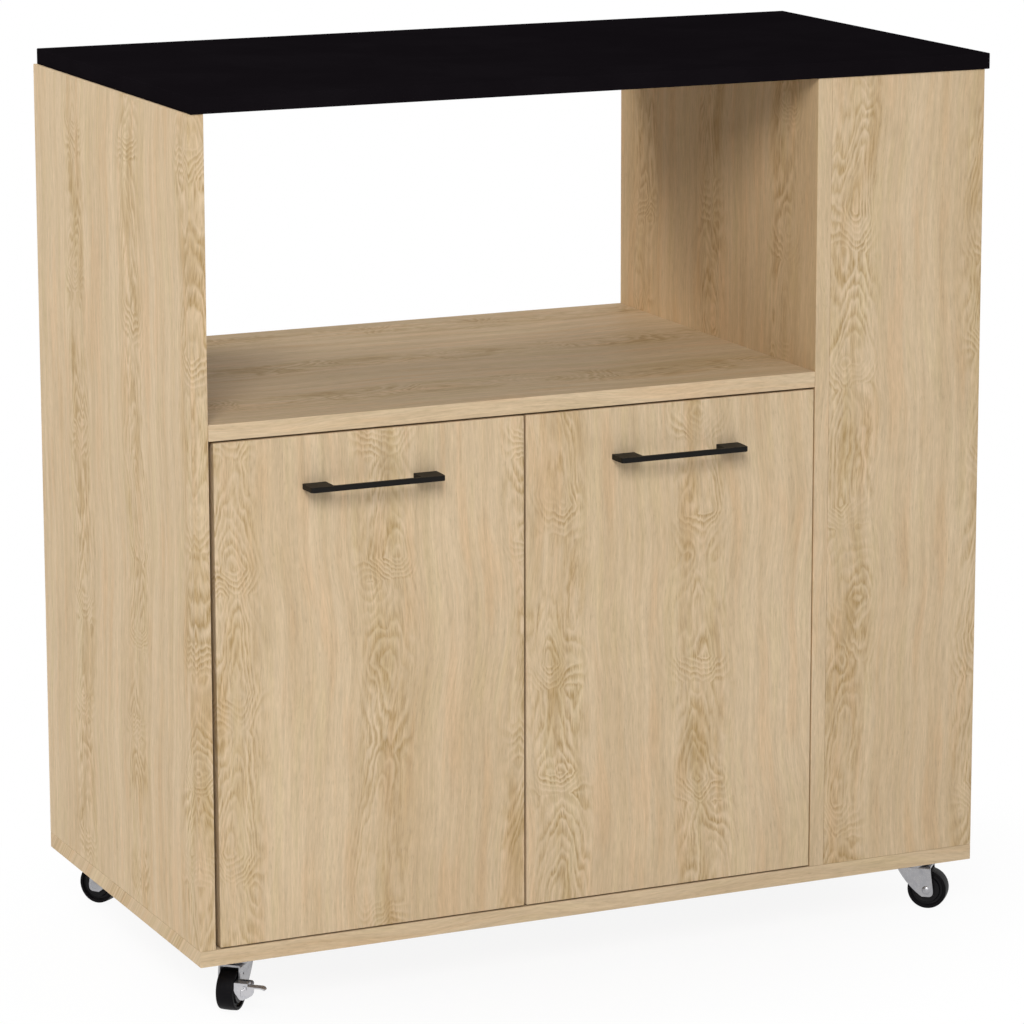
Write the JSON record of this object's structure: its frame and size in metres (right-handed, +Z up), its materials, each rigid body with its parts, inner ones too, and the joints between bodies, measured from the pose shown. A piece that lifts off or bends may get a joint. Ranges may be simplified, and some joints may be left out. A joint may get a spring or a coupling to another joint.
{
  "type": "kitchen cart",
  "caption": "Kitchen cart on swivel casters with a black worktop, an open niche over an inset double-door cabinet, and an open shelf bay at one end.",
  "frame": {"origin": "on the floor, under the middle of the cart's bounding box", "axes": "+Z up, +X toward the shelf bay, -Y the front with the doors"},
  "size_m": [0.8026, 0.44, 0.8415],
  "materials": {
    "oak_laminate": "light oak laminate, satin",
    "black_laminate": "black laminate, satin",
    "black_handle": "black powder coat on cast zinc",
    "hardboard": "printed hardboard",
    "zinc_steel": "bright zinc plate",
    "wheel_plastic": "moulded black plastic",
    "catch_plastic": "moulded grey plastic"
  },
  "bodies": {
    "body": {"worktop": "black_laminate", "left_side_panel": "oak_laminate", "partition_panel": "oak_laminate", "bottom_board": "oak_laminate", "niche_shelf": "oak_laminate", "cabinet_back_panel": "hardboard", "cabinet_shelf": "oak_laminate", "shelf_pins": "zinc_steel", "front_panel": "oak_laminate", "rear_panel": "oak_laminate", "lower_bay_shelf": "oak_laminate", "middle_bay_shelf": "oak_laminate", "upper_bay_shelf": "oak_laminate", "cam_locks": "zinc_steel", "cam_bolts": "zinc_steel", "left_hinge_arms": "zinc_steel", "left_hinge_plates": "zinc_steel", "right_hinge_arms": "zinc_steel", "right_hinge_plates": "zinc_steel", "magnetic_catch": "catch_plastic", "caster_screws": "zinc_steel", "front_left_caster_plate": "zinc_steel", "front_left_caster_kingpin": "zinc_steel", "front_right_caster_plate": "zinc_steel", "front_right_caster_kingpin": "zinc_steel", "rear_left_caster_plate": "zinc_steel", "rear_left_caster_kingpin": "zinc_steel", "rear_right_caster_plate": "zinc_steel", "rear_right_caster_kingpin": "zinc_steel"},
    "left_door_set": {"left_door": "oak_laminate", "left_handle": "black_handle", "left_handle_screws": "zinc_steel", "left_hinge_cups": "zinc_steel", "left_hinge_pins": "zinc_steel", "left_strike_plate": "zinc_steel"},
    "right_door_set": {"right_door": "oak_laminate", "right_handle": "black_handle", "right_handle_screws": "zinc_steel", "right_hinge_cups": "zinc_steel", "right_hinge_pins": "zinc_steel", "right_strike_plate": "zinc_steel"},
    "front_left_fork_set": {"front_left_caster_fork": "zinc_steel", "front_left_caster_axle": "zinc_steel", "front_left_brake_pin": "zinc_steel"},
    "front_left_wheel_set": {"front_left_caster_wheel": "wheel_plastic"},
    "front_left_brake_set": {"front_left_brake_lever": "zinc_steel"},
    "front_right_fork_set": {"front_right_caster_fork": "zinc_steel", "front_right_caster_axle": "zinc_steel"},
    "front_right_wheel_set": {"front_right_caster_wheel": "wheel_plastic"},
    "rear_left_fork_set": {"rear_left_caster_fork": "zinc_steel", "rear_left_caster_axle": "zinc_steel"},
    "rear_left_wheel_set": {"rear_left_caster_wheel": "wheel_plastic"},
    "rear_right_fork_set": {"rear_right_caster_fork": "zinc_steel", "rear_right_caster_axle": "zinc_steel", "rear_right_brake_pin": "zinc_steel"},
    "rear_right_wheel_set": {"rear_right_caster_wheel": "wheel_plastic"},
    "rear_right_brake_set": {"rear_right_brake_lever": "zinc_steel"}
  },
  "joints": [
    {"name": "left_door_hinge", "type": "hinge", "parent": "body", "child": "left_door_set", "pos_m": [-0.36875, -0.1925, 0.3023], "axis": [0, 0, -1], "range_deg": [0, 95]},
    {"name": "right_door_hinge", "type": "hinge", "parent": "body", "child": "right_door_set", "pos_m": [0.20505, -0.1925, 0.3023], "axis": [0, 0, 1], "range_deg": [0, 95]},
    {"name": "front_left_swivel", "type": "hinge", "parent": "body", "child": "front_left_fork_set", "pos_m": [-0.35125, -0.156, 0.043], "axis": [0, 0, 1], "continuous": true},
    {"name": "front_left_wheel_spin", "type": "hinge", "parent": "front_left_fork_set", "child": "front_left_wheel_set", "pos_m": [-0.35995, -0.16566, 0.0195], "axis": [0.7431, -0.6691, 0], "continuous": true},
    {"name": "front_left_brake", "type": "hinge", "parent": "front_left_fork_set", "child": "front_left_brake_set", "pos_m": [-0.34549, -0.17868, 0.0266], "axis": [0.6691, 0.7431, 0], "range_deg": [0, 28]},
    {"name": "front_right_swivel", "type": "hinge", "parent": "body", "child": "front_right_fork_set", "pos_m": [0.35975, -0.156, 0.043], "axis": [0, 0, 1], "continuous": true},
    {"name": "front_right_wheel_spin", "type": "hinge", "parent": "front_right_fork_set", "child": "front_right_wheel_set", "pos_m": [0.36956, -0.16453, 0.0195], "axis": [0.6561, 0.7547, 0], "continuous": true},
    {"name": "rear_left_swivel", "type": "hinge", "parent": "body", "child": "rear_left_fork_set", "pos_m": [-0.35125, 0.184, 0.043], "axis": [0, 0, 1], "continuous": true},
    {"name": "rear_left_wheel_spin", "type": "hinge", "parent": "rear_left_fork_set", "child": "rear_left_wheel_set", "pos_m": [-0.35907, 0.19438, 0.0195], "axis": [-0.7986, -0.6018, 0], "continuous": true},
    {"name": "rear_right_swivel", "type": "hinge", "parent": "body", "child": "rear_right_fork_set", "pos_m": [0.35975, 0.184, 0.043], "axis": [0, 0, 1], "continuous": true},
    {"name": "rear_right_wheel_spin", "type": "hinge", "parent": "rear_right_fork_set", "child": "rear_right_wheel_set", "pos_m": [0.34753, 0.18845, 0.0195], "axis": [-0.342, -0.9397, 0], "continuous": true},
    {"name": "rear_right_brake", "type": "hinge", "parent": "rear_right_fork_set", "child": "rear_right_brake_set", "pos_m": [0.34088, 0.17017, 0.0266], "axis": [0.9397, -0.342, 0], "range_deg": [0, 28]}
  ]
}
